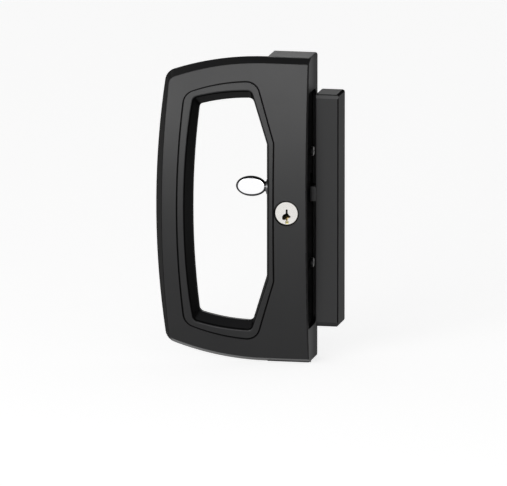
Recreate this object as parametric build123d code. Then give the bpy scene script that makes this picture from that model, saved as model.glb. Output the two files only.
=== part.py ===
from build123d import *
import os
from math import cos, radians, sin, sqrt, tan

# Surface-mounted lock for a sliding door, with its strike.
# Frame, in millimetres: X along the door towards the jamb, Y into the door, Z up. The door's face is
# the plane Y = 0, and the origin is the middle of the lock body's back. The room is at negative Y.

# Lock body: housing against the door
housing_width = 25.0
housing_height = 176.5
housing_corner = 1.5
left_wall = 2.5
inner_right = 7.8
web_z = 63.8
web_thickness = 5.8
end_wall = 2.6
cavity_depth = 19.5
front_cavity_left = -8.3
front_cavity_depth = 24.0
deep_cavity_depth = 28.8
deep_cavity_half_height = 30.0
end_pocket_depth = 22.0

# Lock body: D-shaped handle plate, carried on the housing
handle_reach = 77.6
back_bevel = 1.0
back_bevel_angle = 45.0
handle_back = 18.4
projection = 32.5
face_arch_radius = 543.0
side_radius = 500.0
crown_radius = 165.0
crown_start = -13.6
handle_corner = 8.0
handle_draft = 23.5
face_edge_round = 0.8
grip_round = 1.2

# Hand opening, at its narrowest and where its walls would meet a plane in front of the face
opening_depth = 22.5
opening_left = -55.8
opening_top = 64.45
opening_knee = 38.0
opening_front_left = -59.4
opening_front_right = -9.4
opening_front_top = 74.9
opening_front_knee = 39.3
opening_front_depth = 33.5
opening_side_radius = 455.0
opening_front_side_radius = 800.0
opening_crown_radius = 110.0
opening_slant = 17.1
opening_corner = 3.2
opening_knee_round = 3.0

# Fine line round the hand opening
groove_left = -63.0
groove_right = -6.9
groove_top = 74.7
groove_side_radius = 610.0
groove_knee = 40.1
groove_corner = 8.0
groove_width = 1.0
groove_depth = 1.0

# Fixing bosses, tapped for screws that come through the door
fixing_z = 77.5
fixing_boss_radius = 5.0
fixing_hole_radius = 2.1
fixing_hole_depth = 14.0

# Recess in the jamb side, and the edge plate that lies in it
recess_top = 68.6
recess_bottom = -68.0
recess_floor = 9.3
recess_back = -3.0
recess_corner = 6.0
recess_lip = 1.8
edge_plate_thickness = 1.2
edge_plate_front = -25.0
edge_plate_gap = 0.25
edge_screw_z = 32.3
edge_screw_radius = 1.5
edge_screw_head_radius = 2.8
edge_screw_head_height = 1.4
edge_screw_length = 5.0
edge_boss_radius = 3.4
edge_boss_inner = 5.2

# Back plate
back_plate_thickness = 1.5
back_plate_gap = 0.1
back_screw_x = (-6.0, 4.0)
back_screw_radius = 1.5
back_screw_head_radius = 2.8
back_screw_length = 9.0

# How far a cutter runs past what it cuts, and how far a joined shape reaches into its neighbour
past = 1.0

# Clearances
running_gap = 0.05
screw_gap = 0.1
screw_end_room = 0.5
slide_gap = 0.1
rest_gap = 0.3
coupling_gap = 0.25

# Screw heads: sizes of the cross recess, as shares of the shank's radius, and of the head's round
pan_cross_length = 2.0
pan_cross_width = 0.5
pan_head_round = 0.45
sunk_cross_length = 2.2
sunk_cross_width = 0.44
sunk_cross_depth = 1.2

# Cylinder
cylinder_x = 0.7
shell_radius = 7.2
shell_front = -30.2
shell_back = -6.2
plug_radius = 5.8
plug_head_radius = 6.75
plug_face = -31.7
plug_head_chamfer = 0.3
nose_gap = 0.1
bible_width = 7.2
bible_bottom = -17.0
pin_count = 5
pin_pitch = 3.8
first_pin_y = -26.8
pin_radius = 1.35
chamber_gap = 0.1
key_pin_top = -2.6
driver_pin_length = 3.4
driver_pin_chamfer = 0.27
key_pin_chamfer = 0.45
shear_gap = 0.15
spring_wire_radius = 0.17
spring_turns = 6
cap_thickness = 1.0
cap_width = 4.8
cylinder_screw_z = -12.0
cylinder_screw_radius = 1.6
cylinder_screw_head_radius = 3.0
cylinder_screw_length = 7.5

# Keyway, measured from the plug's axis
keyway_slot = (-0.4, 0.7)
keyway_top = 2.3
keyway_top_round = 0.4
keyway_bottom = -4.3
keyway_length = 22.0
keyway_left_lobe = ((-0.4, -0.1), (-1.9, -0.9), (-2.6, -2.1), (-2.4, -3.5), (-1.5, -4.0), (-0.4, -3.6))
keyway_right_lobe = ((0.7, -3.2), (1.5, -2.7), (2.6, -1.9), (1.4, -0.9), (0.7, 0.0))
keyway_foot = ((-0.6, 1.2), (-6.0, -4.5))
keyway_foot_depth = 0.5

# Cam on the plug's tail, and the deadlock slide that it throws
cam_radius = 5.4
cam_front = -6.0
cam_thickness = 1.6
cam_throw = 3.0
cam_pin_radius = 1.3
cam_screw_orbit = 3.4
cam_screw_radius = 0.9
cam_screw_head_radius = 1.6
cam_screw_length = 4.0
deadlock_front = -3.8
deadlock_back = -1.8
deadlock_left = -9.8
deadlock_right = 3.2
deadlock_bottom = -1.2
deadlock_top = 27.0
tongue_z = 24.0
tongue_height = 3.0
tongue_width = 3.0
tongue_front = -10.0
deadlock_stud_z = (12.0, 20.0)
deadlock_stud_radius = 1.5
deadlock_stud_head_radius = 2.5
deadlock_stud_head_height = 0.8
deadlock_tail_radius = 1.2

# Thumb-turn: paddle, stem and crank
turn_y = -25.0
turn_z = 14.0
paddle_left = -29.9
paddle_right = -12.1
paddle_half_height = 5.9
paddle_thickness = 3.6
paddle_round = 1.5
stem_overlap = 0.8
stem_radius = 3.0
stem_tail_width = 4.0
collar_face = -11.8
collar_flange_radius = 4.9
collar_flange_thickness = 1.0
collar_flange_round = 0.33
collar_radius = 4.0
washer_thickness = 0.4
washer_radius = 3.7
crank_left = -7.6
crank_thickness = 2.0
crank_hub_radius = 3.6
crank_end_radius = 2.6
crank_throw = 5.0
crank_pin_radius = 1.5
crank_pin_end = -1.8
crank_screw_radius = 1.1
crank_screw_head_radius = 2.2
crank_screw_head_height = 1.1
crank_screw_length = 7.0

# Hook bolt: slide plate, fork and hook
bolt_front = -11.0
bolt_back = -5.0
bolt_left = -6.5
bolt_right = 4.6
bolt_shoulder = 7.6
foot_gap = 0.8
bolt_top = 55.5
shoulder_top = 14.5
nose_bottom = 3.8
nose_top = 12.2
hook_play = 0.5
hook_length = 5.1
hook_top = 19.0
hook_lead = 1.7
hook_slope = 2.6
notch_depth = 4.3
fork_left = -4.2
fork_right = -2.0
fork_front = -24.0
fork_bottom = 7.0
fork_top = 14.0
fork_room = 0.6
bolt_stud_x = -0.5
bolt_stud_z = (36.0, 50.0)
bolt_stud_radius = 2.0
bolt_stud_collar_radius = 3.0
bolt_stud_head_radius = 3.4
bolt_stud_head_height = 1.2
bolt_stud_tail_radius = 1.5
bolt_window_gap = 0.4

# Strike: cover, base and keeper plate, on the jamb
strike_left = 15.3
strike_width = 13.1
strike_depth = 19.4
strike_height = 134.4
strike_wall = 1.7
strike_bevel_height = 2.4
strike_bevel_depth = 0.45
strike_end_round = 0.6
strike_jamb_edge_round = 0.7
strike_lock_edge_round = 0.3
strike_jamb_corner = 1.5
mouth_end_gap = 1.2
mouth_side_gap = 0.6
cover_mouth_gap = 0.6
keeper_thickness = 2.0
keeper_height = (-26.0, 46.0)
keeper_screw_z = (-16.0, 36.0)
keeper_screw_y = -8.0
keeper_screw_radius = 1.6
keeper_screw_head_radius = 3.0
keeper_screw_length = 8.0
base_thickness = 2.2
base_end_gap = 0.1
post_width = 7.0
post_height = 11.0
strike_hole_z = 54.0
strike_hole_radius = 2.4
strike_hole_sink_radius = 4.0

housing_left = -housing_width / 2
housing_right = housing_width / 2
inner_left = housing_left + left_wall
face_arch_centre = face_arch_radius - projection
quarter = radians(45)
bolt_travel = 2 * crank_throw * sin(quarter)
bolt_window = (nose_bottom - bolt_window_gap, nose_top + bolt_travel + bolt_window_gap)
mouth = (nose_bottom - mouth_end_gap, nose_top + bolt_travel + mouth_end_gap)
bolt_foot = shell_radius + foot_gap
fork_throat = turn_y + crank_throw + crank_pin_radius + fork_room
chamber_radius = pin_radius + chamber_gap
spot_face_radius = collar_flange_radius + rest_gap
deadlock_travel = 2 * cam_throw * sin(quarter)
strike_right = strike_left + strike_width
hook_heel = strike_left + strike_wall + keeper_thickness + hook_play
hook_tip = hook_heel + hook_length
back_screw_z = web_z + web_thickness / 2
bolt_middle = (bolt_front + bolt_back) / 2
flange_back = collar_face + collar_flange_thickness
cam_back = cam_front + cam_thickness
cap_front = -deep_cavity_depth + 2 * slide_gap
cap_back = first_pin_y + pin_pitch * (pin_count - 1) + 2 * chamber_radius


def block(x, y, z):
    """Box between a low and a high limit on each axis."""
    middle = Pos((x[0] + x[1]) / 2, (y[0] + y[1]) / 2, (z[0] + z[1]) / 2)
    return middle * Box(x[1] - x[0], y[1] - y[0], z[1] - z[0])


def rod_x(radius, x, y, z):
    """Round bar along X."""
    return Pos((x[0] + x[1]) / 2, y, z) * Rot(0, 90, 0) * Cylinder(radius, x[1] - x[0])


def rod_y(radius, x, y, z):
    """Round bar along Y."""
    return Pos(x, (y[0] + y[1]) / 2, z) * Rot(90, 0, 0) * Cylinder(radius, y[1] - y[0])


def rod_z(radius, x, y, z):
    """Round bar along Z."""
    return Pos(x, y, (z[0] + z[1]) / 2) * Cylinder(radius, z[1] - z[0])


def prism_y(sketch, y):
    """Sketch in X and Z, extruded between two values of Y."""
    return extrude(Plane.XZ.offset(-y[1]) * sketch, y[1] - y[0])


def arc_about(centre, start, end):
    """Arc of less than half a turn about a centre."""
    outward = ((start + end) / 2 - centre).normalized()
    return ThreePointArc(start, centre + outward * (start - centre).length, end)


def left_crossing(centre_a, radius_a, centre_b, radius_b):
    """Left-hand point where two circles cross."""
    line = centre_b - centre_a
    along = (line.length**2 + radius_a**2 - radius_b**2) / (2 * line.length)
    across = sqrt(radius_a**2 - along**2)
    foot = centre_a + line * (along / line.length)
    step = Vector(-line.Y, line.X) * (across / line.length)
    return min((foot + step, foot - step), key=lambda point: point.X)


def round_corners(sketch, points, radius):
    """Fillet the corners of a sketch that lie at the given points."""
    corners = [sketch.vertices().sort_by_distance(point)[0] for point in points]
    return fillet(corners, radius)


def flipped(point):
    """The same point below the middle."""
    return Vector(point.X, -point.Y)


def handle_outline(right):
    """D outline: bowed grip side, crowned top and bottom, straight jamb side."""
    half = housing_height / 2
    side_centre = Vector(side_radius - handle_reach, 0)
    crown_centre = Vector(crown_start, half - crown_radius)
    corner = left_crossing(side_centre, side_radius, crown_centre, crown_radius)
    crown = Vector(crown_start, half)
    outline = [
        Line((right, -half), (right, half)),
        Line((right, half), crown),
        arc_about(crown_centre, crown, corner),
        arc_about(side_centre, corner, flipped(corner)),
        arc_about(flipped(crown_centre), flipped(corner), flipped(crown)),
        Line(flipped(crown), (right, -half)),
    ]
    return round_corners(make_face(outline), (corner, flipped(corner)), handle_corner)


def window_outline(left, right, top, knee, side_radius, corner_round, knee_round):
    """Outline of the hand opening: bowed side, crowned ends, and slants down to an upright side."""
    shoulder = Vector(right - (top - knee) * tan(radians(opening_slant)), top)
    side_centre = Vector(left + side_radius, 0)
    crown_centre = Vector(shoulder.X, top - opening_crown_radius)
    corner = left_crossing(side_centre, side_radius, crown_centre, opening_crown_radius)
    bend = Vector(right, knee)
    outline = [
        Line(flipped(bend), bend),
        Line(bend, shoulder),
        arc_about(crown_centre, shoulder, corner),
        arc_about(side_centre, corner, flipped(corner)),
        arc_about(flipped(crown_centre), flipped(corner), flipped(shoulder)),
        Line(flipped(shoulder), flipped(bend)),
    ]
    face = make_face(outline)
    face = round_corners(face, (corner, flipped(corner), shoulder, flipped(shoulder)), corner_round)
    return round_corners(face, (bend, flipped(bend)), knee_round)


def arch(depth):
    """Everything behind the arched face, or behind a like surface set back by a depth."""
    radius = face_arch_radius - depth
    return Pos(0, face_arch_centre, 0) * Rot(0, 90, 0) * Cylinder(radius, 4 * handle_reach)


def hand_opening():
    """Cutter for the hand opening, flared towards the room."""
    narrow = window_outline(
        opening_left,
        housing_left,
        opening_top,
        opening_knee,
        opening_side_radius,
        opening_corner,
        opening_knee_round,
    )
    wide = window_outline(
        opening_front_left,
        opening_front_right,
        opening_front_top,
        opening_front_knee,
        opening_front_side_radius,
        opening_corner,
        opening_knee_round,
    )
    flare = loft(
        [Plane.XZ.offset(opening_depth) * narrow, Plane.XZ.offset(opening_front_depth) * wide],
        ruled=True,
    )
    return flare + prism_y(narrow, (-opening_depth, -handle_back + past))


def groove_cutter():
    """Fine line that runs round the opening, cut to an even depth below the arched face."""
    half = groove_width / 2
    outer = window_outline(
        groove_left - half,
        groove_right + half,
        groove_top + half,
        groove_knee,
        groove_side_radius,
        groove_corner + half,
        opening_knee_round + half,
    )
    inner = window_outline(
        groove_left + half,
        groove_right - half,
        groove_top - half,
        groove_knee,
        groove_side_radius,
        groove_corner - half,
        opening_knee_round,
    )
    ring = outer - inner
    return prism_y(ring, (-projection - past, -handle_back)) - arch(groove_depth)


def handle_plate():
    """Handle plate: drafted edges, arched face and hand opening, with its edges rounded."""
    front = projection + 2
    widest = Plane.XZ.offset(handle_back + back_bevel) * handle_outline(housing_right + front)
    plate = extrude(widest, front - handle_back - back_bevel, taper=handle_draft) & arch(0)
    bevel = extrude(widest, -2 * back_bevel, taper=back_bevel_angle)
    wide = (-2 * handle_reach, housing_right + front)
    bevel = bevel - block(wide, (-handle_back, 0), (-housing_height, housing_height))
    plate = plate + bevel
    left = (-2 * handle_reach, housing_right)
    plate = plate & block(left, (-front, 0), (-housing_height, housing_height))
    plate = plate - hand_opening()
    back = plate.faces().sort_by(Axis.Y)[-1]
    grip = back.inner_wires()[0].edges().filter_by(lambda edge: edge.center().X < housing_left - past / 2)
    return fillet(grip, grip_round)


def housing():
    """Plain block of the housing, with its upright corners rounded."""
    half = housing_height / 2
    walls = block((housing_left, housing_right), (-handle_back - 2 * past, 0), (-half, half))
    corners = walls.edges().filter_by(Axis.Y).filter_by(lambda edge: edge.center().X > 0)
    return fillet(corners, housing_corner)


def jamb_side_recess():
    """Cutter for the long recess in the jamb side, which stops just short of the arched face."""
    low = recess_bottom
    high = recess_top
    middle = Pos((recess_back - projection) / 2, (low + high) / 2)
    outline = middle * Rectangle(recess_back + projection, high - low)
    outline = round_corners(outline, (Vector(recess_back, low), Vector(recess_back, high)), recess_corner)
    cutter = extrude(Plane.YZ.offset(recess_floor) * outline, housing_width)
    return cutter & arch(recess_lip)


def lock_body():
    """The one casting: D handle and housing, hollow behind."""
    casting = handle_plate() + housing()
    face = casting.faces().sort_by(Axis.Y)[0]
    casting = fillet(face.edges(), face_edge_round)
    casting = casting - groove_cutter() - jamb_side_recess()
    across = (inner_left, inner_right)
    deep = (front_cavity_left, inner_right)
    cavity = block(across, (-cavity_depth, past), (-web_z, web_z))
    cavity = cavity + block(deep, (-front_cavity_depth, -cavity_depth), (-web_z, web_z))
    low, high = -deep_cavity_half_height, deep_cavity_half_height
    cavity = cavity + block(deep, (-deep_cavity_depth, -front_cavity_depth), (low, high))
    casting = casting - cavity
    pocket_start = web_z + web_thickness
    pocket_end = housing_height / 2 - end_wall
    for side in (-1, 1):
        ends = sorted((side * pocket_start, side * pocket_end))
        casting = casting - block(across, (-end_pocket_depth, past), ends)
        boss = rod_y(fixing_boss_radius, 0, (-end_pocket_depth - past, 0), side * fixing_z)
        casting = casting + boss
        casting = casting - rod_y(fixing_hole_radius, 0, (-fixing_hole_depth, past), side * fixing_z)
    half = housing_height / 2 - end_wall
    casting = casting - block(across, (-back_plate_thickness, past), (-half, half))
    for side in (-1, 1):
        casting = casting + rod_y(fixing_boss_radius, 0, (-2 * back_plate_thickness, 0), side * fixing_z)
        casting = casting - rod_y(fixing_hole_radius, 0, (-fixing_hole_depth, past), side * fixing_z)
        screw_z = side * edge_screw_z
        casting = casting + rod_x(edge_boss_radius, (edge_boss_inner, recess_floor), bolt_middle, screw_z)
        thread = (edge_boss_inner - past, recess_floor + past)
        casting = casting - rod_x(edge_screw_radius + screw_gap, thread, bolt_middle, screw_z)
        for x in back_screw_x:
            depth = (-back_screw_length - past, past)
            casting = casting - rod_y(back_screw_radius + screw_gap, x, depth, side * back_screw_z)
    nose = (-projection - past, -deep_cavity_depth + past)
    casting = casting - rod_y(shell_radius + nose_gap, cylinder_x, nose, 0)
    relief = rod_y(shell_radius + rest_gap, cylinder_x, (-deep_cavity_depth, shell_back), 0)
    casting = casting - relief
    window_y = (bolt_front - bolt_window_gap, bolt_back + bolt_window_gap)
    casting = casting - block((inner_right - past, recess_floor + past), window_y, bolt_window)
    spot = rod_x(spot_face_radius, (housing_left - spot_face_radius, flange_back), turn_y, turn_z)
    casting = casting - spot
    bush_hole = (housing_left - past, front_cavity_left + past)
    return casting - rod_x(collar_radius + running_gap, bush_hole, turn_y, turn_z)


def pan_screw(head_radius, head_height, shank_radius, length):
    """Cross-recessed screw, its head standing on Z = 0 and its shank below."""
    head = Pos(0, 0, head_height / 2) * Cylinder(head_radius, head_height)
    head = fillet(head.edges().sort_by(Axis.Z)[-1], pan_head_round * head_height)
    slot = pan_cross_length * shank_radius
    wide = pan_cross_width * shank_radius
    deep = Pos(0, 0, head_height)
    cross = deep * Box(slot, wide, head_height) + deep * Box(wide, slot, head_height)
    return head + Pos(0, 0, -length / 2) * Cylinder(shank_radius, length) - cross


def countersunk_screw(head_radius, shank_radius, length):
    """Cross-recessed screw with its flat head flush at Z = 0 and its shank below."""
    sink = head_radius - shank_radius
    head = Pos(0, 0, -sink / 2) * Cone(shank_radius, head_radius, sink)
    slot = sunk_cross_length * shank_radius
    wide = sunk_cross_width * shank_radius
    depth = sunk_cross_depth * sink
    cross = Box(slot, wide, depth) + Box(wide, slot, depth)
    return head + Pos(0, 0, -length / 2) * Cylinder(shank_radius, length) - cross


def sunk_hole(head_radius, hole_radius, length):
    """Cutter for a countersunk hole, its mouth at Z = 0."""
    sink = head_radius - hole_radius
    mouth = Pos(0, 0, -sink / 2) * Cone(hole_radius, head_radius, sink)
    return mouth + Pos(0, 0, -length / 2) * Cylinder(hole_radius, length)


def edge_plate():
    """Steel plate in the jamb-side recess, with the bolt's window and two screw holes."""
    low = recess_bottom + edge_plate_gap
    high = recess_top - edge_plate_gap
    back = recess_back - edge_plate_gap
    outline = Pos((edge_plate_front + back) / 2, (low + high) / 2)
    outline = outline * Rectangle(back - edge_plate_front, high - low)
    outline = fillet(outline.vertices(), recess_corner - edge_plate_gap)
    plate = extrude(Plane.YZ.offset(recess_floor) * outline, edge_plate_thickness)
    outside = recess_floor + edge_plate_thickness
    across = (recess_floor - past, outside + past)
    window_y = (bolt_front - bolt_window_gap, bolt_back + bolt_window_gap)
    plate = plate - block(across, window_y, bolt_window)
    for side in (-1, 1):
        plate = plate - rod_x(edge_screw_radius + screw_gap, across, bolt_middle, side * edge_screw_z)
    return plate


def edge_plate_screws():
    """Two pan-head screws that hold the edge plate."""
    outside = recess_floor + edge_plate_thickness
    screw = pan_screw(
        edge_screw_head_radius, edge_screw_head_height, edge_screw_radius, edge_screw_length
    )
    return [
        Pos(outside, bolt_middle, side * edge_screw_z) * Rot(0, 90, 0) * screw for side in (-1, 1)
    ]


def back_plate():
    """Steel plate that closes the housing towards the door and carries the studs."""
    half = housing_height / 2 - end_wall - back_plate_gap
    across = (inner_left + back_plate_gap, inner_right - back_plate_gap)
    plate = block(across, (-back_plate_thickness, 0), (-half, half))
    through = (-back_plate_thickness - past, past)
    for side in (-1, 1):
        plate = plate - rod_y(fixing_boss_radius + rest_gap, 0, through, side * fixing_z)
        for x in back_screw_x:
            hole = sunk_hole(
                back_screw_head_radius + screw_gap, back_screw_radius + screw_gap, 2 * back_plate_thickness
            )
            plate = plate - Pos(x, 0, side * back_screw_z) * Rot(-90, 0, 0) * hole
    hole = sunk_hole(
        cylinder_screw_head_radius + screw_gap, cylinder_screw_radius + screw_gap, 2 * back_plate_thickness
    )
    plate = plate - Pos(cylinder_x, 0, cylinder_screw_z) * Rot(-90, 0, 0) * hole
    for z in bolt_stud_z:
        plate = plate - rod_y(bolt_stud_tail_radius + running_gap, bolt_stud_x, through, z)
    for z in deadlock_stud_z:
        plate = plate - rod_y(deadlock_tail_radius + running_gap, 0, through, z)
    return plate


def back_plate_screws():
    """Four countersunk screws that hold the back plate to the casting's webs."""
    screw = countersunk_screw(back_screw_head_radius, back_screw_radius, back_screw_length)
    return [
        Pos(x, 0, side * back_screw_z) * Rot(-90, 0, 0) * screw for x in back_screw_x for side in (-1, 1)
    ]


def cylinder_screw():
    """Countersunk screw through the back plate into the cylinder's foot."""
    screw = countersunk_screw(
        cylinder_screw_head_radius, cylinder_screw_radius, cylinder_screw_length
    )
    return [Pos(cylinder_x, 0, cylinder_screw_z) * Rot(-90, 0, 0) * screw]


def pin_places():
    """Y of each pin chamber, from the front."""
    return [first_pin_y + pin_pitch * number for number in range(pin_count)]


def cylinder_shell():
    """Cylinder housing: barrel round the plug, and the bible with the pin chambers below it."""
    shell = rod_y(shell_radius, cylinder_x, (shell_front, shell_back), 0)
    half = bible_width / 2
    sides = (cylinder_x - half, cylinder_x + half)
    shell = shell + block(sides, (-deep_cavity_depth, shell_back), (bible_bottom, 0))
    foot_top = -cam_radius - rest_gap
    shell = shell + block(sides, (shell_back - past, -back_plate_thickness), (bible_bottom, foot_top))
    bore = (shell_front - past, shell_back + past)
    shell = shell - rod_y(plug_radius + running_gap, cylinder_x, bore, 0)
    for y in pin_places():
        shell = shell - rod_z(chamber_radius, cylinder_x, y, (bible_bottom - past, -plug_radius + past))
    slot = cap_width / 2 + running_gap
    ends = (cap_front - running_gap, cap_back + running_gap)
    across = (cylinder_x - slot, cylinder_x + slot)
    shell = shell - block(across, ends, (bible_bottom - past, bible_bottom + cap_thickness))
    depth = (-cylinder_screw_length - past, 0)
    return shell - rod_y(cylinder_screw_radius + screw_gap, cylinder_x, depth, cylinder_screw_z)


def chamber_cap():
    """Brass strip that closes the pin chambers."""
    half = cap_width / 2
    across = (cylinder_x - half, cylinder_x + half)
    return block(across, (cap_front, cap_back), (bible_bottom, bible_bottom + cap_thickness))


def driver_pins():
    """Drivers below the shear line, one in each chamber."""
    top = -plug_radius - shear_gap
    pin = rod_z(pin_radius, cylinder_x, 0, (top - driver_pin_length, top))
    pin = chamfer(pin.edges().filter_by(GeomType.CIRCLE), driver_pin_chamfer)
    return [Pos(0, y, 0) * pin for y in pin_places()]


def pin_springs():
    """Coil springs between the drivers and the chamber cap."""
    high = -plug_radius - shear_gap - driver_pin_length - 2 * spring_wire_radius
    low = bible_bottom + cap_thickness + 2 * spring_wire_radius
    radius = chamber_radius - spring_wire_radius - 2 * running_gap
    coil = Helix((high - low) / spring_turns, high - low, radius)
    wire = Plane(origin=coil @ 0, z_dir=coil % 0) * Circle(spring_wire_radius)
    spring = sweep(wire, path=coil, is_frenet=True)
    return [Pos(cylinder_x, y, low) * spring for y in pin_places()]


def cylinder_plug():
    """Plug that the key turns: head, barrel, keyway, pin bores and two tapped holes in its tail."""
    plug = rod_y(plug_radius, cylinder_x, (plug_face, cam_front), 0)
    head = rod_y(plug_head_radius, cylinder_x, (plug_face, shell_front - running_gap), 0)
    head = chamfer(head.edges().filter_by(GeomType.CIRCLE).sort_by(Axis.Y)[0], plug_head_chamfer)
    plug = head + plug
    top_left = (keyway_slot[0], keyway_top)
    top_right = (keyway_slot[1], keyway_top)
    keyway = Polygon(
        top_left,
        *keyway_left_lobe,
        (keyway_slot[0], keyway_bottom),
        (keyway_slot[1], keyway_bottom),
        *keyway_right_lobe,
        top_right,
        align=None,
    )
    keyway = round_corners(keyway, (Vector(*top_left), Vector(*top_right)), keyway_top_round)
    cut = (plug_face - past, plug_face + keyway_length)
    plug = plug - Pos(cylinder_x, 0, 0) * prism_y(keyway, cut)
    foot_x = (cylinder_x + keyway_foot[0][0], cylinder_x + keyway_foot[0][1])
    plug = plug - block(foot_x, (plug_face - past, plug_face + keyway_foot_depth), keyway_foot[1])
    for y in pin_places():
        bore = rod_z(chamber_radius, cylinder_x, y, (-plug_radius - past, key_pin_top + rest_gap))
        plug = plug - bore
    for place in cam_screw_places():
        depth = (cam_back - cam_screw_length - rest_gap, 0)
        hole = rod_y(cam_screw_radius + screw_gap, place[0], depth, place[1])
        plug = plug - hole
    return plug


def key_pins():
    """Key pins inside the plug, all at the shear line as with a key in."""
    low = -plug_radius + shear_gap
    pin = rod_z(pin_radius, cylinder_x, 0, (low, key_pin_top))
    pin = chamfer(pin.edges().filter_by(GeomType.CIRCLE), key_pin_chamfer)
    return [Pos(0, y, 0) * pin for y in pin_places()]


def cam_screw_places():
    """X and Z of the two cam screws, across the plug from each other."""
    step = cam_screw_orbit * sin(quarter)
    return ((cylinder_x + step, step), (cylinder_x - step, -step))


def cylinder_cam():
    """Cam on the plug's tail; its crank pin stands towards the door."""
    cam = rod_y(cam_radius, cylinder_x, (cam_front, cam_back), 0)
    pin_x = cylinder_x - cam_throw * sin(quarter)
    pin_z = cam_throw * cos(quarter)
    cam = cam + rod_y(cam_pin_radius, pin_x, (cam_back - past, deadlock_back), pin_z)
    head = cam_screw_head_radius + screw_gap
    hole = sunk_hole(head, cam_screw_radius + screw_gap, cam_thickness + past)
    for x, z in cam_screw_places():
        cam = cam - Pos(x, cam_back, z) * Rot(-90, 0, 0) * hole
    return cam


def cam_screws():
    """Two small countersunk screws that hold the cam to the plug."""
    screw = countersunk_screw(cam_screw_head_radius, cam_screw_radius, cam_screw_length)
    return [Pos(x, cam_back, z) * Rot(-90, 0, 0) * screw for x, z in cam_screw_places()]


def deadlock_slide():
    """Plate thrown sideways by the cam; its tongue enters a notch of the bolt."""
    flat = (deadlock_front, deadlock_back)
    slide = block((deadlock_left, deadlock_right), flat, (deadlock_bottom, deadlock_top))
    tongue_x = (deadlock_left, deadlock_left + tongue_width)
    tongue_span = (tongue_z - tongue_height / 2, tongue_z + tongue_height / 2)
    slide = slide + block(tongue_x, (tongue_front, deadlock_back), tongue_span)
    through = (deadlock_front - past, deadlock_back + past)
    for z in deadlock_stud_z:
        reach = deadlock_stud_radius + slide_gap
        slide = slide - block((-deadlock_travel, 0), through, (z - reach, z + reach))
        slide = slide - rod_y(reach, -deadlock_travel, through, z)
        slide = slide - rod_y(reach, 0, through, z)
    pin_x = cylinder_x - cam_throw * sin(quarter)
    reach = cam_pin_radius + coupling_gap
    low = cam_throw * cos(quarter) - reach
    high = cam_throw + reach
    return slide - block((pin_x - reach, pin_x + reach), through, (low, high))


def stud(radius, head_radius, head_height, tail_radius, shoulder, neck):
    """Riveted stud on the back plate: tail, shoulder, neck and head, standing towards the room."""
    post = rod_y(tail_radius, 0, (-back_plate_thickness, 0), 0)
    post = post + rod_y(radius, 0, (neck, -back_plate_thickness), 0)
    if shoulder:
        post = post + rod_y(shoulder[0], 0, (shoulder[1], -back_plate_thickness), 0)
    return post + rod_y(head_radius, 0, (neck - head_height, neck), 0)


def bolt_studs():
    """Two studs that the hook bolt slides on."""
    post = stud(
        bolt_stud_radius,
        bolt_stud_head_radius,
        bolt_stud_head_height,
        bolt_stud_tail_radius,
        (bolt_stud_collar_radius, bolt_back + slide_gap),
        bolt_front - slide_gap,
    )
    return [Pos(bolt_stud_x, 0, z) * post for z in bolt_stud_z]


def deadlock_studs():
    """Two studs that the deadlock slide runs on."""
    post = stud(
        deadlock_stud_radius,
        deadlock_stud_head_radius,
        deadlock_stud_head_height,
        deadlock_tail_radius,
        None,
        deadlock_front - slide_gap,
    )
    return [Pos(0, 0, z) * post for z in deadlock_stud_z]


def hook_bolt():
    """Sliding bolt: plate with stud slots and notches, fork for the crank, and the hook."""
    profile = Polygon(
        (bolt_left, bolt_foot),
        (bolt_shoulder, bolt_foot),
        (bolt_shoulder, nose_bottom),
        (hook_tip - hook_lead, nose_bottom),
        (hook_tip, nose_bottom + hook_lead),
        (hook_tip, hook_top - hook_slope),
        (hook_tip - hook_slope, hook_top),
        (hook_heel, hook_top),
        (hook_heel, nose_top),
        (bolt_shoulder, nose_top),
        (bolt_shoulder, shoulder_top),
        (bolt_right, shoulder_top + bolt_shoulder - bolt_right),
        (bolt_right, bolt_top),
        (bolt_left, bolt_top),
        align=None,
    )
    bolt = prism_y(profile, (bolt_front, bolt_back))
    through = (bolt_front - past, bolt_back + past)
    for z in bolt_stud_z:
        reach = bolt_stud_radius + slide_gap
        bolt = bolt - block((bolt_stud_x - reach, bolt_stud_x + reach), through, (z - bolt_travel, z))
        bolt = bolt - rod_y(reach, bolt_stud_x, through, z - bolt_travel)
        bolt = bolt - rod_y(reach, bolt_stud_x, through, z)
    half = tongue_height / 2 + rest_gap
    for z in (tongue_z, tongue_z - bolt_travel):
        bolt = bolt - block((bolt_left - past, bolt_left + notch_depth), through, (z - half, z + half))
    fork = block((fork_left, fork_right), (fork_front, bolt_front), (fork_bottom, fork_top))
    pin_z = turn_z - crank_throw * sin(quarter)
    reach = crank_pin_radius + coupling_gap
    throat = (fork_front - past, fork_throat)
    fork = fork - block((fork_left - past, fork_right + past), throat, (pin_z - reach, pin_z + reach))
    return bolt + fork


def turn_collar():
    """Bush with a flange, in the wall of the hand opening."""
    flange = rod_x(collar_flange_radius, (collar_face, flange_back), turn_y, turn_z)
    rim = flange.edges().filter_by(GeomType.CIRCLE).sort_by(Axis.X)[0]
    flange = fillet(rim, collar_flange_round)
    bush = rod_x(collar_radius, (collar_face + rest_gap, front_cavity_left), turn_y, turn_z)
    bore = rod_x(stem_radius + running_gap, (collar_face - past, front_cavity_left + past), turn_y, turn_z)
    return flange + bush - bore


def friction_washer():
    """Washer between the collar and the crank, which keeps the turn where it is put."""
    left = front_cavity_left + slide_gap
    ring = rod_x(washer_radius, (left, left + washer_thickness), turn_y, turn_z)
    through = (left - past, left + washer_thickness + past)
    return ring - rod_x(stem_radius + slide_gap, through, turn_y, turn_z)


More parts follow.
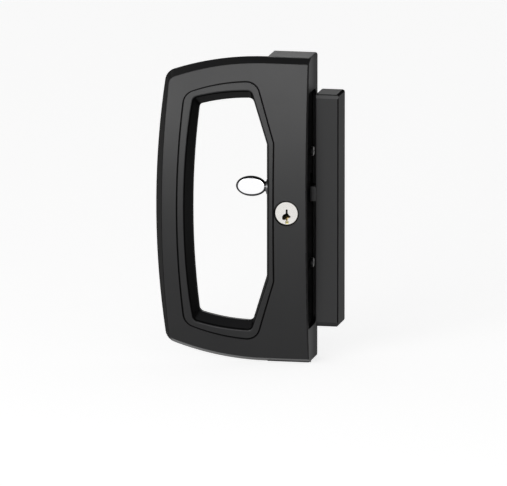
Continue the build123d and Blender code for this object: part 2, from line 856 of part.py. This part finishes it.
def thumb_turn():
    """Oval paddle and its stem, in one piece, with a square tail for the crank."""
    half_width = (paddle_right - paddle_left) / 2
    oval = Pos((paddle_left + paddle_right) / 2, turn_z) * Ellipse(half_width, paddle_half_height)
    half = paddle_thickness / 2
    paddle = prism_y(oval, (turn_y - half, turn_y + half))
    paddle = fillet(paddle.edges().filter_by(Plane.XZ), paddle_round)
    turn = paddle + rod_x(stem_radius, (paddle_right - stem_overlap, crank_left), turn_y, turn_z)
    side = stem_tail_width / 2
    tail_end = crank_left + crank_thickness
    square_y = (turn_y - side, turn_y + side)
    square_z = (turn_z - side, turn_z + side)
    turn = turn + block((crank_left - past, tail_end), square_y, square_z)
    depth = (tail_end - crank_screw_length - past, tail_end + past)
    return turn - rod_x(crank_screw_radius + screw_gap, depth, turn_y, turn_z)


def crank_pin_place():
    """Y and Z of the crank pin at rest, an eighth of a turn below level."""
    return turn_y + crank_throw * cos(quarter), turn_z - crank_throw * sin(quarter)


def turn_crank():
    """Crank on the turn's tail: hub, arm and the pin that works in the bolt's fork."""
    across = (crank_left, crank_left + crank_thickness)
    pin_y, pin_z = crank_pin_place()
    hub = rod_x(crank_hub_radius, across, turn_y, turn_z)
    end = rod_x(crank_end_radius, across, pin_y, pin_z)
    arm = Box(crank_thickness, crank_throw, 2 * crank_end_radius)
    middle = Pos(sum(across) / 2, (turn_y + pin_y) / 2, (turn_z + pin_z) / 2)
    crank = hub + end + middle * Rot(-45, 0, 0) * arm
    crank = crank + rod_x(crank_pin_radius, (crank_left, crank_pin_end), pin_y, pin_z)
    side = stem_tail_width / 2 + running_gap
    square_y = (turn_y - side, turn_y + side)
    square_z = (turn_z - side, turn_z + side)
    return crank - block((crank_left - past, across[1] + past), square_y, square_z)


def crank_screw():
    """Small screw that holds the crank on the turn's tail."""
    screw = pan_screw(
        crank_screw_head_radius, crank_screw_head_height, crank_screw_radius, crank_screw_length
    )
    return [Pos(crank_left + crank_thickness, turn_y, turn_z) * Rot(0, 90, 0) * screw]


def strike_cover():
    """Black cap of the strike: a bevelled box, open behind, with the hook's mouth in its lock side."""
    half = strike_height / 2
    cover = block((strike_left, strike_right), (-strike_depth, 0), (-half, half))
    middle = strike_left + strike_width / 2
    corners = cover.edges().filter_by(Axis.Y).filter_by(lambda edge: edge.center().X > middle)
    cover = fillet(corners, strike_jamb_corner)
    lip = strike_bevel_depth - strike_depth
    shoulder = half - strike_bevel_height
    side_view = Polygon(
        (0, -half),
        (0, half),
        (lip, half),
        (-strike_depth, shoulder),
        (-strike_depth, -shoulder),
        (lip, -half),
        align=None,
    )
    side_view = fillet(side_view.vertices().group_by(Axis.X)[1], strike_end_round)
    cover = cover & extrude(Plane.YZ.offset(strike_left) * side_view, strike_width)
    front = cover.faces().sort_by(Axis.Y)[0]
    jamb_edge = front.edges().filter_by(Axis.Z).sort_by(Axis.X)[-1]
    cover = fillet(jamb_edge, strike_jamb_edge_round)
    front = cover.faces().sort_by(Axis.Y)[0]
    lock_edge = front.edges().filter_by(Axis.Z).sort_by(Axis.X)[0]
    cover = fillet(lock_edge, strike_lock_edge_round)
    inside_x = (strike_left + strike_wall, strike_right - strike_wall)
    inside_end = half - strike_wall - strike_bevel_height / 2
    cover = cover - block(inside_x, (-strike_depth + strike_wall, past), (-inside_end, inside_end))
    gap = mouth_side_gap + cover_mouth_gap
    mouth_y = (bolt_front - gap, bolt_back + gap)
    mouth_z = (mouth[0] - cover_mouth_gap, mouth[1] + cover_mouth_gap)
    return cover - block((strike_left - past, strike_left + strike_wall + past), mouth_y, mouth_z)


def keeper_plate():
    """Steel plate with the mouth that the hook catches behind."""
    left = strike_left + strike_wall
    depth = (-strike_depth + strike_wall, -base_thickness)
    plate = block((left, left + keeper_thickness), depth, keeper_height)
    through = (left - past, left + keeper_thickness + past)
    mouth_y = (bolt_front - mouth_side_gap, bolt_back + mouth_side_gap)
    plate = plate - block(through, mouth_y, mouth)
    for z in keeper_screw_z:
        hole = sunk_hole(
            keeper_screw_head_radius + screw_gap, keeper_screw_radius + screw_gap, 2 * keeper_thickness
        )
        plate = plate - Pos(left, keeper_screw_y, z) * Rot(0, -90, 0) * hole
    return plate


def keeper_screws():
    """Two countersunk screws that hold the keeper plate to the base's posts."""
    screw = countersunk_screw(keeper_screw_head_radius, keeper_screw_radius, keeper_screw_length)
    left = strike_left + strike_wall
    return [Pos(left, keeper_screw_y, z) * Rot(0, -90, 0) * screw for z in keeper_screw_z]


def strike_base():
    """Base screwed to the jamb, with two posts for the keeper plate."""
    left = strike_left + strike_wall + base_end_gap
    right = strike_right - strike_wall - base_end_gap
    half = strike_height / 2 - strike_wall - strike_bevel_height / 2 - base_end_gap
    base = block((left, right), (-base_thickness, 0), (-half, half))
    post_left = strike_left + strike_wall + keeper_thickness
    for z in keeper_screw_z:
        post_y = (-strike_depth + strike_wall + base_end_gap, -base_thickness + past)
        span = (z - post_height / 2, z + post_height / 2)
        post = block((post_left, post_left + post_width), post_y, span)
        base = base + post
        end = post_left + keeper_screw_length - keeper_thickness + screw_end_room
        depth = (post_left - past, end)
        base = base - rod_x(keeper_screw_radius + screw_gap, depth, keeper_screw_y, z)
    for side in (-1, 1):
        hole = sunk_hole(strike_hole_sink_radius, strike_hole_radius, 2 * base_thickness)
        base = base - Pos((left + right) / 2, -base_thickness, side * strike_hole_z) * Rot(90, 0, 0) * hole
    return base


pieces = {
    "lock_body": lock_body,
    "edge_plate": edge_plate,
    "edge_plate_screws": edge_plate_screws,
    "back_plate": back_plate,
    "back_plate_screws": back_plate_screws,
    "bolt_studs": bolt_studs,
    "deadlock_studs": deadlock_studs,
    "cylinder_shell": cylinder_shell,
    "cylinder_screw": cylinder_screw,
    "chamber_cap": chamber_cap,
    "driver_pins": driver_pins,
    "pin_springs": pin_springs,
    "turn_collar": turn_collar,
    "friction_washer": friction_washer,
    "thumb_turn": thumb_turn,
    "turn_crank": turn_crank,
    "crank_screw": crank_screw,
    "hook_bolt": hook_bolt,
    "cylinder_plug": cylinder_plug,
    "key_pins": key_pins,
    "cylinder_cam": cylinder_cam,
    "cam_screws": cam_screws,
    "deadlock_slide": deadlock_slide,
    "strike_cover": strike_cover,
    "strike_base": strike_base,
    "keeper_plate": keeper_plate,
    "keeper_screws": keeper_screws,
}

os.makedirs("parts", exist_ok=True)
for node, make in pieces.items():
    made = make()
    if isinstance(made, list):
        made = Compound(children=made)
    export_step(made, f"parts/{node}.step")
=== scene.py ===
import math

import bpy
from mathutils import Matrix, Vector


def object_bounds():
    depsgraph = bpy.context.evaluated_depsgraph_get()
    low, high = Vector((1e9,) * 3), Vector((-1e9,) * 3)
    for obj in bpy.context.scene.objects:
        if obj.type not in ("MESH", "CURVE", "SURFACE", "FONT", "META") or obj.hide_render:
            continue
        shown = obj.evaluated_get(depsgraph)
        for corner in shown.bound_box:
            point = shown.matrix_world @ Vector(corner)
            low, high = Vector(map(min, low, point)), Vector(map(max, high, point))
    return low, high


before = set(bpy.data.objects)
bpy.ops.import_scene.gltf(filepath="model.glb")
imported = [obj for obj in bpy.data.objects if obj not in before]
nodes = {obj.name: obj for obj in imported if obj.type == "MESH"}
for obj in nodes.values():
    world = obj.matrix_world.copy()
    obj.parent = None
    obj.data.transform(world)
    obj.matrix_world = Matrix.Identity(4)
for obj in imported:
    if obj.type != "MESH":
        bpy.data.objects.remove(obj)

cad_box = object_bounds()

# Lock body: one zinc die casting, handle and housing together, shot-blasted and
# powder-coated satin black. The coat has a fine orange peel, and it is a little
# smoother where hands take hold of the grip.


class Wire:
    """A socket of a finish. Sums on it add Math nodes."""

    def __init__(self, finish, socket):
        self.finish = finish
        self.socket = socket

    def maths(self, operation, first, second):
        return self.finish.add("ShaderNodeMath", {"operation": operation}, {0: first, 1: second})

    def __add__(self, other):
        return self.maths("ADD", self, other)

    def __radd__(self, other):
        return self.maths("ADD", other, self)

    def __sub__(self, other):
        return self.maths("SUBTRACT", self, other)

    def __rsub__(self, other):
        return self.maths("SUBTRACT", other, self)

    def __mul__(self, other):
        return self.maths("MULTIPLY", self, other)

    def __rmul__(self, other):
        return self.maths("MULTIPLY", other, self)

    def __truediv__(self, other):
        return self.maths("DIVIDE", self, other)

    def __pow__(self, other):
        return self.maths("POWER", self, other)

    def __abs__(self):
        return self.maths("ABSOLUTE", self, 0.0)


class Finish:
    """A material of nodes, laid out on the piece's own Object coordinates."""

    def __init__(self, name):
        self.material = bpy.data.materials.new(name)
        self.material.use_nodes = True
        self.tree = self.material.node_tree
        self.tree.nodes.clear()
        self.place = self.add("ShaderNodeTexCoord", out="Object")

    def add(self, kind, settings=None, inputs=None, out=0):
        """One node: its settings, then its sockets. out is an output, or a tuple of them."""
        node = self.tree.nodes.new(kind)
        for name, value in (settings or {}).items():
            setattr(node, name, value)
        for name, value in (inputs or {}).items():
            if isinstance(value, Wire):
                self.tree.links.new(value.socket, node.inputs[name])
            else:
                node.inputs[name].default_value = value
        if isinstance(out, tuple):
            return [Wire(self, node.outputs[each]) for each in out]
        return Wire(self, node.outputs[out])

    def noise(self, size, detail=2.0, where=None):
        """Cloudy noise with lumps of the given size, in metres."""
        inputs = {"Vector": where or self.place, "Scale": 1.0 / size, "Detail": detail}
        return self.add("ShaderNodeTexNoise", {}, inputs, "Fac")

    def between(self, low, high, value):
        """value, spread so that low gives 0 and high gives 1, both ends eased."""
        inputs = {"Value": value, "From Min": low, "From Max": high}
        return self.add("ShaderNodeMapRange", {"interpolation_type": "SMOOTHSTEP"}, inputs)

    def colours(self, factor, first, second):
        """Colour that goes from first to second as factor rises."""
        ends = {0: factor}
        for socket, colour in ((6, first), (7, second)):
            ends[socket] = colour if isinstance(colour, Wire) else (*colour, 1.0)
        return self.add("ShaderNodeMix", {"data_type": "RGBA"}, ends, 2)

    def stretched(self, along, squeeze=0.02):
        """The place, drawn out along one axis so that noise on it makes grain lines."""
        scale = [squeeze if axis == along else 1.0 for axis in "XYZ"]
        inputs = {"Vector": self.place, "Scale": scale}
        return self.add("ShaderNodeMapping", {}, inputs)

    def centred(self, *middle):
        """X, Y and Z measured from a middle, in metres."""
        inputs = {0: self.place, 1: middle}
        moved = self.add("ShaderNodeVectorMath", {"operation": "SUBTRACT"}, inputs)
        return self.add("ShaderNodeSeparateXYZ", {}, {0: moved}, (0, 1, 2))

    def facing(self):
        """How far a face looks along X, Y and Z, each from -1 to 1."""
        normal = self.add("ShaderNodeTexCoord", out="Normal")
        return self.add("ShaderNodeSeparateXYZ", {}, {0: normal}, (0, 1, 2))

    def bump(self, height, depth, under=None):
        """Bumps of the given depth, in metres, where height runs from 0 to 1."""
        inputs = {"Height": height, "Distance": depth}
        if under:
            inputs["Normal"] = under
        return self.add("ShaderNodeBump", {}, inputs)

    def surface(self, colour, roughness, normal, metallic=0.0, specular=0.5, dull=None):
        """Closes the finish and returns its material; where the shade mask is 1 it is matt black,
        painted shade.
        """
        inputs = {
            "Base Color": colour,
            "Roughness": roughness,
            "Metallic": metallic,
            "Normal": normal,
            "Specular IOR Level": specular,
        }
        shader = self.add("ShaderNodeBsdfPrincipled", {}, inputs)
        if dull:
            # Matt black that stands in for shade: painted shade.
            shade_settings = {
                "Base Color": (0.002, 0.002, 0.002, 1.0),
                "Roughness": 0.9,
                "Specular IOR Level": 0.02,
            }
            matt = self.add("ShaderNodeBsdfPrincipled", {}, shade_settings)
            shader = self.add("ShaderNodeMixShader", {}, {0: dull, 1: shader, 2: matt})
        self.add("ShaderNodeOutputMaterial", {}, {"Surface": shader}, ())
        return self.material


def coated(node, material):
    """Gives a CAD node its finish."""
    for slot in nodes[node].material_slots:
        slot.material = material


body_coat = Finish("powder_coat_body")
x, y, z = body_coat.centred(0.0, 0.0, 0.0)
across, _, upward = body_coat.facing()

turned_away = (0.3, 0.7)
turned_to_hook = (0.25, 0.6)
grip_inner_edge = (-0.02, -0.03)
hook_half = (0.0, 0.008)
nearer_back = (-0.024, -0.006)
upper_half = (0.0, 0.02)
left_faces = body_coat.between(*turned_away, 0.0 - across)
grip_wall = body_coat.between(*turned_away, across) * body_coat.between(*grip_inner_edge, x)
hook_side = body_coat.between(*turned_to_hook, across) * body_coat.between(*hook_half, x)
behind = hook_side * body_coat.between(*nearer_back, y)
ceiling = body_coat.between(*turned_away, 0.0 - upward) * body_coat.between(*upper_half, z)

# The groove is found by its depth below the arched face, inside these ends; it is painted dark as
# shade.
arch_centre = 0.5105
arch_radius = 0.543
groove_left = (-0.066, -0.065)
groove_right = (-0.0045, -0.0055)
groove_ends = (0.0768, 0.076)
groove_lip = (0.00025, 0.0006)
groove_floor = (0.0014, 0.0011)
below_face = arch_radius - ((y - arch_centre) ** 2.0 + z * z) ** 0.5
groove = body_coat.between(*groove_lip, below_face) * body_coat.between(*groove_floor, below_face)
ahead = body_coat.between(*groove_left, x) * body_coat.between(*groove_right, x)
ahead = ahead * body_coat.between(*groove_ends, abs(z))
# Painted shade: matt black mixed over the faces turned left, the walls of the hand opening, the
# hook side and more of it towards the back, the faces looking down in the upper half, and the
# groove.
painted_shade_on_body = (
    0.9 * left_faces
    + 0.88 * grip_wall
    + 0.55 * hook_side
    + 0.2 * behind
    + 0.7 * ceiling
    + 0.9 * groove * ahead
)

grip_depth = (-0.045, -0.07)
grip_height = (0.078, 0.03)
coat_dark = (0.0055, 0.0055, 0.006)
coat_light = (0.0095, 0.0095, 0.01)
peel_depth = 0.00001
grain_depth = 0.000004
held = body_coat.between(*grip_depth, x) * body_coat.between(*grip_height, abs(z))
cloud = body_coat.noise(size=0.03, detail=3.0)
peel = body_coat.noise(size=0.0016)
grain = body_coat.noise(size=0.0003, detail=3.0)
lumps = body_coat.bump(peel, peel_depth)
body_surface = body_coat.surface(
    colour=body_coat.colours(cloud, coat_dark, coat_light),
    roughness=0.34 + 0.08 * cloud + 0.06 * grain - 0.04 * held,
    normal=body_coat.bump(grain, grain_depth, lumps),
    specular=0.26,
    dull=painted_shade_on_body,
)
coated("lock_body", body_surface)

# Edge plate: a strip of steel in the recess of the side that the hook leaves,
# blacked to match the coat, with the bolt's window in it. Two pan-head screws
# hold it to bosses in the casting.

blacked = Finish("blacked_steel")
rolled = blacked.noise(size=0.0006, detail=3.0, where=blacked.stretched("Z"))
patch = blacked.noise(size=0.012, detail=3.0)
blacked_surface = blacked.surface(
    colour=blacked.colours(patch, (0.006, 0.006, 0.0065), (0.012, 0.012, 0.0125)),
    roughness=0.62 + 0.12 * rolled + 0.08 * patch,
    normal=blacked.bump(rolled, depth=0.000006),
    specular=0.05,
    # Mostly matt black: painted shade in the recess.
    dull=0.7 + 0.15 * patch,
)
coated("edge_plate", blacked_surface)

screw_black = Finish("blackened_screws")
spots = screw_black.noise(size=0.0011, detail=3.0)
screw_black_surface = screw_black.surface(
    colour=screw_black.colours(spots, (0.02, 0.02, 0.021), (0.05, 0.05, 0.05)),
    roughness=0.28 + 0.14 * spots,
    metallic=0.9,
    normal=screw_black.bump(spots, depth=0.00001),
)
coated("edge_plate_screws", screw_black_surface)

# Back plate: 1.5 mm zinc-plated steel that closes the housing from behind, held
# by four countersunk screws. The turned studs that the slides run on are riveted
# to it.


def plated(name, light, dark, crystal_size):
    """Zinc plate: pale grey crystals with a faint bloom, over rolled steel."""
    zinc = Finish(name)
    cells = {"Vector": zinc.place, "Scale": 1.0 / crystal_size}
    spangle = zinc.add("ShaderNodeTexVoronoi", {"feature": "F1"}, cells, "Color")
    (crystal,) = zinc.add("ShaderNodeSeparateColor", {}, {0: spangle}, (0,))
    bloom = zinc.noise(size=0.009, detail=4.0)
    roll = zinc.noise(size=0.0005, detail=3.0, where=zinc.stretched("Z"))
    return zinc.surface(
        colour=zinc.colours(0.45 * crystal + 0.55 * bloom, dark, light),
        roughness=0.26 + 0.12 * bloom + 0.08 * roll,
        metallic=1.0,
        normal=zinc.bump(roll, depth=0.000005),
    )


zinc_sheet = plated("zinc_sheet", (0.62, 0.63, 0.64), (0.4, 0.41, 0.42), crystal_size=0.0045)
zinc_screw = plated("zinc_screws", (0.66, 0.66, 0.66), (0.42, 0.42, 0.42), crystal_size=0.0012)
coated("back_plate", zinc_sheet)
coated("back_plate_screws", zinc_screw)

turned = Finish("turned_steel")
lathe = turned.noise(size=0.00025, where=turned.stretched("Z"))
oil = turned.noise(size=0.004, detail=3.0)
turned_steel = turned.surface(
    colour=turned.colours(oil, (0.36, 0.36, 0.37), (0.5, 0.5, 0.5)),
    roughness=0.22 + 0.15 * oil + 0.05 * lathe,
    metallic=1.0,
    normal=turned.bump(lathe, depth=0.000004),
)
coated("bolt_studs", turned_steel)
coated("deadlock_studs", turned_steel)

# Cylinder: brass housing with its bible below, screwed to the back plate. Five
# drivers and springs sit in its chambers under a brass cap. Only its nose shows,
# as a dark ring round the plug; the shell's colour is painted near black, as painted shade of the
# gap round the plug.


def brass(name, light, dark, smoothest):
    """Bare brass, slightly tarnished in patches, with fine turning lines."""
    metal = Finish(name)
    tarnish = metal.noise(size=0.003, detail=4.0)
    line = metal.noise(size=0.0002, where=metal.stretched("Y"))
    return metal.surface(
        colour=metal.colours(tarnish, light, dark),
        roughness=smoothest + 0.15 * tarnish + 0.05 * line,
        metallic=1.0,
        normal=metal.bump(line, depth=0.000004),
    )


shell_brass_painted_dark = brass("brass_shell", (0.03, 0.026, 0.02), (0.015, 0.013, 0.01), smoothest=0.5)
cap_brass = brass("brass_cap", (0.62, 0.45, 0.2), (0.42, 0.28, 0.11), smoothest=0.25)
pin_brass = brass("brass_pins", (0.68, 0.5, 0.22), (0.5, 0.34, 0.13), smoothest=0.2)
coated("cylinder_shell", shell_brass_painted_dark)
coated("chamber_cap", cap_brass)
coated("driver_pins", pin_brass)
coated("cylinder_screw", zinc_screw)

spring_wire = Finish("spring_wire")
drawn = spring_wire.noise(size=0.0004)
spring_surface = spring_wire.surface(
    colour=spring_wire.colours(drawn, (0.42, 0.42, 0.43), (0.6, 0.6, 0.6)),
    roughness=0.2 + 0.1 * drawn,
    metallic=1.0,
    normal=spring_wire.bump(drawn, depth=0.000003),
)
coated("pin_springs", spring_surface)

# Thumb-turn: polished chrome on a zinc die casting, paddle and stem in one. It
# turns in a grey collar in the wall of the hand opening; inside, a washer gives
# it friction, and a crank on its square tail lifts the bolt.

turn_y = -0.025
turn_z = 0.014
paddle_x = -0.021
paddle_half_length = 0.0089
paddle_half_height = 0.0059
# The paddle's rounded rim is painted near black, a painted dark reflection, thinner towards the
# stem.
rim_width = (0.0016, 0.0013)
rim_thinning = 0.0003
towards_stem = (0.003, 0.008)

chrome = Finish("polished_chrome")
x, _, z = chrome.centred(paddle_x, turn_y, turn_z)
reach = (x * x + z * z) ** 0.5
share = ((x / paddle_half_length) ** 2.0 + (z / paddle_half_height) ** 2.0) ** 0.5
from_edge = reach / share - reach
thinner = rim_thinning * chrome.between(*towards_stem, x)
painted_dark_rim = chrome.between(*rim_width, from_edge + thinner)
haze = chrome.noise(size=0.004, detail=4.0)
scratch = chrome.noise(size=0.00012, where=chrome.stretched("X"))
mirror = chrome.colours(haze, (0.95, 0.95, 0.96), (0.88, 0.88, 0.9))
chrome_surface = chrome.surface(
    colour=chrome.colours(painted_dark_rim, mirror, (0.05, 0.05, 0.052)),
    roughness=0.05 + 0.07 * haze + 0.03 * scratch,
    metallic=1.0,
    normal=chrome.bump(scratch, depth=0.0000012),
)
coated("thumb_turn", chrome_surface)

collar_x = -0.0115
collar_lines = 900.0

collar = Finish("satin_collar")
x, y, z = collar.centred(collar_x, turn_y, turn_z)
from_collar = collar.add("ShaderNodeCombineXYZ", {}, {0: x, 1: y, 2: z})
ring = collar.add(
    "ShaderNodeTexWave",
    {"wave_type": "RINGS", "rings_direction": "X"},
    {"Vector": from_collar, "Scale": collar_lines, "Distortion": 1.5},
    "Fac",
)
cloudy = collar.noise(size=0.002, detail=3.0)
collar_surface = collar.surface(
    colour=collar.colours(cloudy, (0.08, 0.08, 0.082), (0.12, 0.12, 0.122)),
    roughness=0.32 + 0.12 * cloudy,
    metallic=1.0,
    normal=collar.bump(ring, depth=0.000005),
)
coated("turn_collar", collar_surface)
coated("friction_washer", turned_steel)
coated("turn_crank", turned_steel)
coated("crank_screw", zinc_screw)

# Hook bolt: stamped and ground steel, plated a matt grey. It slides up on two
# studs, and its nose crosses the gap to the strike.

nose_start = (0.0105, 0.012)

bolt_finish = Finish("ground_bolt_steel")
x, _, _ = bolt_finish.centred(0.0, 0.0, 0.0)
nose = bolt_finish.between(*nose_start, x)
ground = bolt_finish.noise(size=0.0004, detail=3.0, where=bolt_finish.stretched("X"))
worn = bolt_finish.noise(size=0.005, detail=4.0)
# Painted shade: the colour is near black where the bolt lies in the recess, and lighter on the
# nose beyond it.
shaded_bolt_colour = bolt_finish.colours(worn, (0.025, 0.025, 0.026), (0.045, 0.045, 0.046))
bolt_surface = bolt_finish.surface(
    colour=bolt_finish.colours(nose * (0.2 + 0.3 * worn), shaded_bolt_colour, (0.22, 0.22, 0.222)),
    roughness=0.3 + 0.14 * worn + 0.06 * ground,
    metallic=1.0,
    normal=bolt_finish.bump(ground, depth=0.000008),
)
coated("hook_bolt", bolt_surface)

# Key plug: nickel-plated brass, its face faced on a lathe and left satin. The
# keyway is broached through it; a touch of brass shows at its foot. A cam on its
# tail throws the deadlock slide.

plug_x = 0.0007
plug_face_y = -0.0317
facing_lines = 9000.0
into_keyway = (0.0001, 0.0012)
keyway_end = (0.0056, 0.0058)
foot_front = (0.00005, 0.0003)
foot_back = (0.0012, 0.0008)
foot_top = (-0.0043, -0.0045)

plug = Finish("satin_nickel_plug")
x, y, z = plug.centred(plug_x, plug_face_y, 0.0)
radius = (x * x + z * z) ** 0.5
turning = plug.add(
    "ShaderNodeTexNoise",
    {"noise_dimensions": "1D"},
    {"W": radius, "Scale": facing_lines, "Detail": 2.0},
    "Fac",
)
touched = plug.noise(size=0.003, detail=4.0)
nickel = plug.colours(touched, (0.65, 0.635, 0.61), (0.57, 0.555, 0.53))
deep = plug.between(*into_keyway, y)
inside = 1.0 - plug.between(*keyway_end, radius)
keyway_shade = plug.colours(deep * inside, nickel, (0.16, 0.14, 0.1))
foot = plug.between(*foot_front, y) * plug.between(*foot_top, z) * plug.between(*foot_back, y)
plug_surface = plug.surface(
    colour=plug.colours(foot, keyway_shade, (0.3, 0.27, 0.12)),
    roughness=0.13 + 0.08 * touched + 0.05 * turning,
    metallic=1.0,
    normal=plug.bump(turning, depth=0.000008),
)
coated("cylinder_plug", plug_surface)
coated("key_pins", pin_brass)
coated("cylinder_cam", zinc_sheet)
coated("cam_screws", zinc_screw)
coated("deadlock_slide", turned_steel)

# Strike: a zinc-plated base carries a steel keeper plate on two posts. A cap
# coated like the lock body covers both; its lock side has the mouth that the
# hook enters.

coated("strike_base", zinc_sheet)
coated("keeper_screws", zinc_screw)

keeper = Finish("keeper_steel")
lay = keeper.noise(size=0.0005, detail=3.0, where=keeper.stretched("Z"))
mark = keeper.noise(size=0.006, detail=4.0)
keeper_surface = keeper.surface(
    colour=keeper.colours(mark, (0.38, 0.38, 0.39), (0.52, 0.52, 0.52)),
    roughness=0.26 + 0.14 * mark + 0.06 * lay,
    metallic=1.0,
    normal=keeper.bump(lay, depth=0.000007),
)
coated("keeper_plate", keeper_surface)

cap_side = (0.9, 0.995)
cap_side_rough = (0.7, 0.9)
cap_ridge = ((0.05, 0.2), (0.995, 0.9))
cap_top = (0.9, 0.99)
cap_brow = ((0.25, 0.4), (0.99, 0.9))

strike_coat = Finish("powder_coat_strike")
outward, _, topward = strike_coat.facing()
ridge = strike_coat.between(*cap_ridge[0], outward) * strike_coat.between(*cap_ridge[1], outward)
brow = strike_coat.between(*cap_brow[0], topward) * strike_coat.between(*cap_brow[1], topward)
strike_side = strike_coat.between(*cap_side, outward)
strike_top = strike_coat.between(*cap_top, topward)
rougher = strike_coat.between(*cap_side_rough, abs(outward))
mottle = strike_coat.noise(size=0.025, detail=3.0)
dimple = strike_coat.noise(size=0.0016)
sand = strike_coat.noise(size=0.0003, detail=3.0)
strike_lumps = strike_coat.bump(dimple, peel_depth)
strike_surface = strike_coat.surface(
    colour=strike_coat.colours(mottle, coat_dark, coat_light),
    roughness=0.36 + 0.08 * mottle + 0.06 * sand + 0.2 * rougher,
    normal=strike_coat.bump(sand, grain_depth, strike_lumps),
    specular=0.24,
    # Painted shade: matt black over the cap's rounded ridges and brows, and partly over its side
    # and top.
    dull=0.93 * ridge + 0.35 * strike_side + 0.25 * strike_top + 0.75 * brow,
)
coated("strike_cover", strike_surface)

# Floor: a pale sheet just under the lock. It keeps the lock's shadow, and its
# glow reaches only the camera, reflections and clear pieces.

floor_size = 16.0
floor_gap = 0.0005
floor_grey = (0.6, 0.6, 0.6, 1.0)
white = (1.0, 1.0, 1.0, 1.0)

bpy.ops.object.select_all(action="DESELECT")
floor_place = (0.0, 0.0, cad_box[0][2] - floor_gap)
bpy.ops.mesh.primitive_plane_add(size=floor_size, location=floor_place)
floor = bpy.context.active_object
floor.name = "floor"

paper = Finish("floor_paper")
camera_ray, glossy_ray, clear_ray = paper.add(
    "ShaderNodeLightPath", out=("Is Camera Ray", "Is Glossy Ray", "Is Transmission Ray")
)
seen = paper.add("ShaderNodeClamp", {}, {0: camera_ray + glossy_ray + clear_ray})
matt_paper = paper.add("ShaderNodeBsdfDiffuse", {}, {"Color": floor_grey})
lit_paper = paper.add("ShaderNodeEmission", {}, {"Color": white, "Strength": 0.75})
both = paper.add("ShaderNodeAddShader", {}, {0: matt_paper, 1: lit_paper})
paper_mix = paper.add("ShaderNodeMixShader", {}, {0: seen, 1: matt_paper, 2: both})
paper.add("ShaderNodeOutputMaterial", {}, {"Surface": paper_mix}, ())
floor.data.materials.append(paper.material)

# Light: an even studio all round, brighter in a band at the horizon and most of
# all in front, and one softbox in front, to the left of the lock.


class Sky(Finish):
    """Nodes of the world: they read the direction of each ray."""

    def __init__(self, name):
        self.world = bpy.data.worlds.new(name)
        self.world.use_nodes = True
        self.tree = self.world.node_tree
        self.tree.nodes.clear()
        self.place = self.add("ShaderNodeTexCoord", out="Generated")


band_bottom = (-0.15, 0.05)
band_top = (0.45, 0.15)
in_front = (-0.45, -0.9)

studio = Sky("studio")
bpy.context.scene.world = studio.world
_, y, z = studio.centred(0.0, 0.0, 0.0)
horizon = studio.between(*band_bottom, z) * studio.between(*band_top, z)
front = studio.between(*in_front, y)
glow = 0.13 + 1.3 * horizon + 2.0 * horizon * front
light = studio.add("ShaderNodeBackground", {}, {"Color": white, "Strength": glow})
studio.add("ShaderNodeOutputWorld", {}, {"Surface": light}, ())


def looking(direction):
    """Turn of a lamp or a camera that looks in a direction."""
    return direction.to_track_quat("-Z", "Y").to_euler()


softbox_place = Vector((-0.5, -1.8, 0.35))
softbox = bpy.data.lights.new("key_light", "AREA")
softbox.shape = "RECTANGLE"
softbox.size = 1.2
softbox.size_y = 0.5
softbox.energy = 15.5
key_light = bpy.data.objects.new("key_light", softbox)
bpy.context.scene.collection.objects.link(key_light)
key_light.location = softbox_place
key_light.rotation_euler = looking(-softbox_place)

# Camera: a long lens at the angle of the photograph, with the lock a little
# above the centre of the picture.

view_azimuth = math.radians(11.3)
view_elevation = math.radians(10.6)
aim = Vector((-0.02157, -0.016, -0.02085))
picture_width = 0.2895

towards_camera = Vector(
    (
        math.sin(view_azimuth) * math.cos(view_elevation),
        -math.cos(view_azimuth) * math.cos(view_elevation),
        math.sin(view_elevation),
    )
)
lens = bpy.data.cameras.new("long_lens")
lens.lens = 1000.0
lens.sensor_width = 36.0
lens.clip_end = 100.0
distance = picture_width * lens.lens / lens.sensor_width
camera = bpy.data.objects.new("long_lens", lens)
bpy.context.scene.collection.objects.link(camera)
camera.location = aim + distance * towards_camera
camera.rotation_euler = looking(-towards_camera)
bpy.context.scene.camera = camera
bpy.context.scene.view_settings.view_transform = "Standard"
